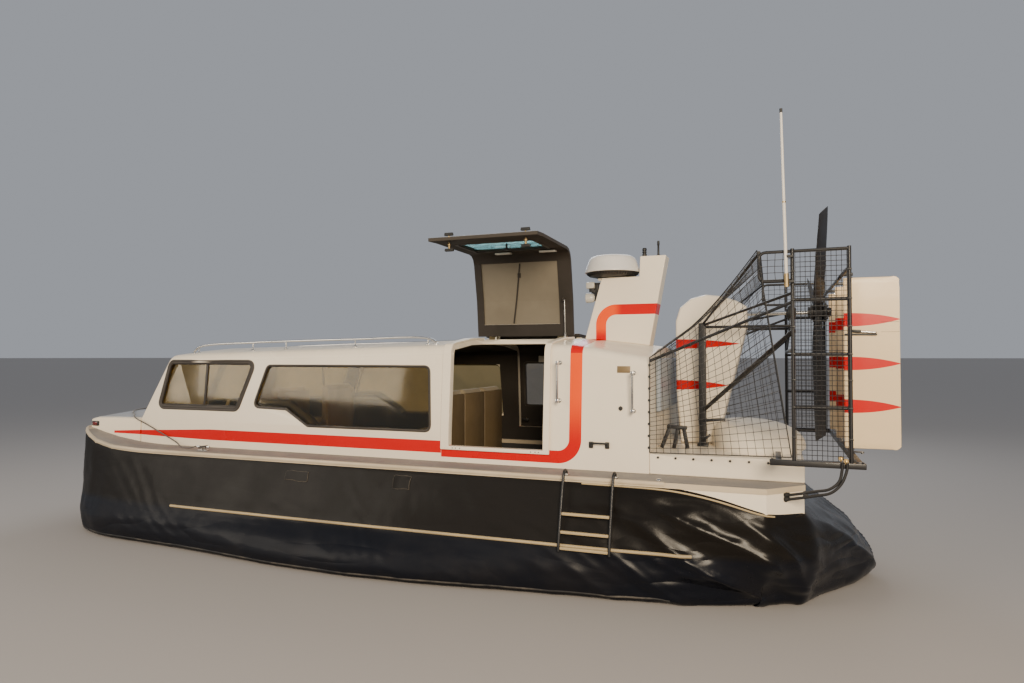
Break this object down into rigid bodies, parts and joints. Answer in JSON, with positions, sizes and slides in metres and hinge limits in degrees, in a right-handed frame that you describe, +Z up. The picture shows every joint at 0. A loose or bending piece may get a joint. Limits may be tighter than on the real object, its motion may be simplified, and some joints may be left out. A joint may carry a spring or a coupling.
{
  "type": "cabin hovercraft",
  "caption": "Light cabin hovercraft resting on its skids with the skirt let down, roof-hinged side doors, a caged pusher propeller and hinged rudders.",
  "frame": {"origin": "on the ground, at the middle of the craft's length and beam", "axes": "+X forward to the bow, +Y to port, +Z up"},
  "size_m": [8.01, 3.24, 3.5503],
  "materials": {
    "white_gelcoat": "glossy sprayed moulding",
    "deck_grip": "grey non-slip deck paint with a cream edge",
    "skirt_fabric": "coated fabric, worn and dusty",
    "tinted_glass": "lightly tinted glazing",
    "lining": "fawn trim cloth",
    "seat_cover": "olive seat cloth",
    "engine_parts": "dark engine parts",
    "dark_trim": "dark moulded trim",
    "bright_metal": "stainless steel",
    "black_tube": "black powder coat",
    "propeller_black": "black composite blades",
    "antenna_white": "white fibreglass whip",
    "dome_white": "white scanner cover",
    "rudder_paint": "cream paint with red stripes",
    "hose_rubber": "black steering hose",
    "net_cord": "black knotted cord",
    "rope": "dark braided rope"
  },
  "bodies": {
    "root": {"aft_body": "white_gelcoat", "aft_dome": "white_gelcoat", "antenna": "antenna_white", "bench_rear": "seat_cover", "boarding_ladder": "black_tube", "cabin_front": "white_gelcoat", "cabin_roof": "white_gelcoat", "cabin_side_port": "white_gelcoat", "cabin_side_starboard": "white_gelcoat", "dashboard": "dark_trim", "door_flange_port": "white_gelcoat", "door_flange_starboard": "white_gelcoat", "drive_tower": "white_gelcoat", "engine_block": "engine_parts", "engine_enclosure": "white_gelcoat", "foredeck": "white_gelcoat", "front_seats": "seat_cover", "grab_rail_front_port": "bright_metal", "grab_rail_front_starboard": "bright_metal", "grab_rail_rear_port": "bright_metal", "grab_rail_rear_starboard": "bright_metal", "guard_frame": "black_tube", "guard_mesh_port": "black_tube", "guard_mesh_starboard": "black_tube", "guard_net_port": "net_cord", "guard_net_starboard": "net_cord", "gunwale": "deck_grip", "hull": "white_gelcoat", "mast_lights": "black_tube", "mooring_rope": "rope", "pylon": "white_gelcoat", "pylon_lamps": "black_tube", "radiator": "engine_parts", "rear_bulkhead": "white_gelcoat", "roof_rail_port": "bright_metal", "roof_rail_starboard": "bright_metal", "scanner_dome": "dome_white", "skirt": "skirt_fabric", "steering_hoses": "hose_rubber", "stern_block": "white_gelcoat", "topsides": "white_gelcoat", "window_front_port": "tinted_glass", "window_front_starboard": "tinted_glass", "window_long_port": "tinted_glass", "window_long_starboard": "tinted_glass", "windscreen": "tinted_glass"},
    "propeller": {"propeller": "propeller_black"},
    "rudder_port": {"rudder_port": "rudder_paint"},
    "rudder_centre": {"rudder_centre": "rudder_paint"},
    "rudder_starboard": {"rudder_starboard": "rudder_paint"},
    "door_port": {"door_port": "white_gelcoat", "door_window_port": "tinted_glass", "door_roof_panel_port": "lining"},
    "strut_barrel_port": {"strut_barrel_port": "bright_metal"},
    "strut_rod_port": {"strut_rod_port": "bright_metal"},
    "door_starboard": {"door_starboard": "white_gelcoat", "door_window_starboard": "tinted_glass", "door_roof_panel_starboard": "lining"},
    "strut_barrel_starboard": {"strut_barrel_starboard": "bright_metal"},
    "strut_rod_starboard": {"strut_rod_starboard": "bright_metal"}
  },
  "joints": [
    {"name": "door_port_hinge", "type": "hinge", "parent": "root", "child": "door_port", "pos_m": [-0.9, 0.1, 2.014], "axis": [1, 0, 0], "range_deg": [-86, 0]},
    {"name": "door_starboard_hinge", "type": "hinge", "parent": "root", "child": "door_starboard", "pos_m": [-0.9, -0.1, 2.014], "axis": [-1, 0, 0], "range_deg": [0, 86]},
    {"name": "strut_port_swing", "type": "hinge", "parent": "root", "child": "strut_barrel_port", "pos_m": [-1.314, 0.15, 1.7], "axis": [1, 0, 0], "range_deg": [-45.06, 0]},
    {"name": "strut_port_slide", "type": "slide", "parent": "strut_barrel_port", "child": "strut_rod_port", "axis": [0, 0.0654, 0.9979], "range_m": [-0.26778, 0]},
    {"name": "strut_starboard_swing", "type": "hinge", "parent": "root", "child": "strut_barrel_starboard", "pos_m": [-1.314, -0.15, 1.7], "axis": [-1, 0, 0], "range_deg": [0, 45.06]},
    {"name": "strut_starboard_slide", "type": "slide", "parent": "strut_barrel_starboard", "child": "strut_rod_starboard", "axis": [0, -0.7526, 0.6585], "range_m": [0, 0.26778]},
    {"name": "propeller_spin", "type": "hinge", "parent": "root", "child": "propeller", "pos_m": [-3.5, 0, 2.18], "axis": [1, 0, 0], "continuous": true},
    {"name": "rudder_centre_swing", "type": "hinge", "parent": "root", "child": "rudder_centre", "pos_m": [-3.685, 0, 1.75], "axis": [0, 0, 1], "range_deg": [-30, 30]},
    {"name": "rudder_port_swing", "type": "hinge", "parent": "root", "child": "rudder_port", "pos_m": [-3.685, 0.7, 1.75], "axis": [0, 0, 1], "range_deg": [-30, 30]},
    {"name": "rudder_starboard_swing", "type": "hinge", "parent": "root", "child": "rudder_starboard", "pos_m": [-3.685, -0.7, 1.75], "axis": [0, 0, 1], "range_deg": [-30, 30]}
  ],
  "couplings": [
    {"joint": "strut_port_swing", "follows": "door_port_hinge", "ratio": 0.524},
    {"joint": "strut_port_slide", "follows": "door_port_hinge", "m_per_rad": 0.1784},
    {"joint": "strut_starboard_swing", "follows": "door_starboard_hinge", "ratio": 0.524},
    {"joint": "strut_starboard_slide", "follows": "door_starboard_hinge", "m_per_rad": 0.1784},
    {"joint": "rudder_port_swing", "follows": "rudder_centre_swing", "ratio": 1},
    {"joint": "rudder_starboard_swing", "follows": "rudder_centre_swing", "ratio": 1}
  ]
}
